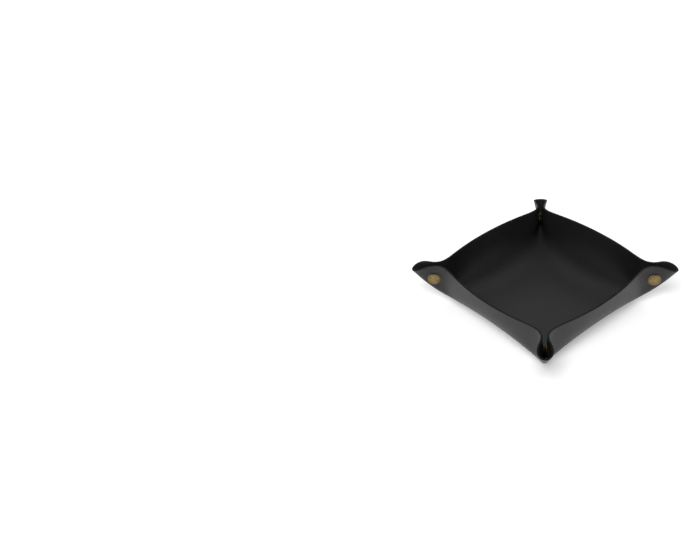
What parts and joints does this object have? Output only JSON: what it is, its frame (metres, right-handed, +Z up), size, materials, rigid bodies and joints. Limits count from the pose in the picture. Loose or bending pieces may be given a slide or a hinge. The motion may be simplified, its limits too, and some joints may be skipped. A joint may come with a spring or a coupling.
{
  "type": "valet tray",
  "caption": "Square leather valet tray with a flat floor, flared walls and pinched corner ears held by press snaps.",
  "frame": {"origin": "middle of the floor, on its underside, where the tray stands", "axes": "+Z up; the four walls face +X, -X, +Y and -Y; the ears point along the diagonals"},
  "size_m": [0.1738, 0.1738, 0.0452],
  "materials": {
    "leather": "smooth black leather with a fine grain and a low sheen, cut edges",
    "antique_brass": "dark antique brass, brighter on the raised edges"
  },
  "bodies": {
    "root": {"leather_sheet": "leather", "front_stud": "antique_brass", "front_stud_cap": "antique_brass", "right_stud": "antique_brass", "right_stud_cap": "antique_brass", "back_stud": "antique_brass", "back_stud_cap": "antique_brass", "left_stud": "antique_brass", "left_stud_cap": "antique_brass"},
    "front_socket_half": {"front_socket_cap": "antique_brass", "front_socket": "antique_brass", "front_socket_spring": "antique_brass"},
    "right_socket_half": {"right_socket_cap": "antique_brass", "right_socket": "antique_brass", "right_socket_spring": "antique_brass"},
    "back_socket_half": {"back_socket_cap": "antique_brass", "back_socket": "antique_brass", "back_socket_spring": "antique_brass"},
    "left_socket_half": {"left_socket_cap": "antique_brass", "left_socket": "antique_brass", "left_socket_spring": "antique_brass"}
  },
  "joints": [
    {"name": "front_snap_pull", "type": "slide", "parent": "root", "child": "front_socket_half", "axis": [-0.7071, 0.7071, 0], "range_m": [0, 0.006], "deforming": ["leather_sheet", "front_socket_spring"]},
    {"name": "right_snap_pull", "type": "slide", "parent": "root", "child": "right_socket_half", "axis": [0.7071, 0.7071, 0], "range_m": [0, 0.006], "deforming": ["leather_sheet", "right_socket_spring"]},
    {"name": "back_snap_pull", "type": "slide", "parent": "root", "child": "back_socket_half", "axis": [0.7071, -0.7071, 0], "range_m": [0, 0.006], "deforming": ["leather_sheet", "back_socket_spring"]},
    {"name": "left_snap_pull", "type": "slide", "parent": "root", "child": "left_socket_half", "axis": [-0.7071, -0.7071, 0], "range_m": [0, 0.006], "deforming": ["leather_sheet", "left_socket_spring"]}
  ]
}
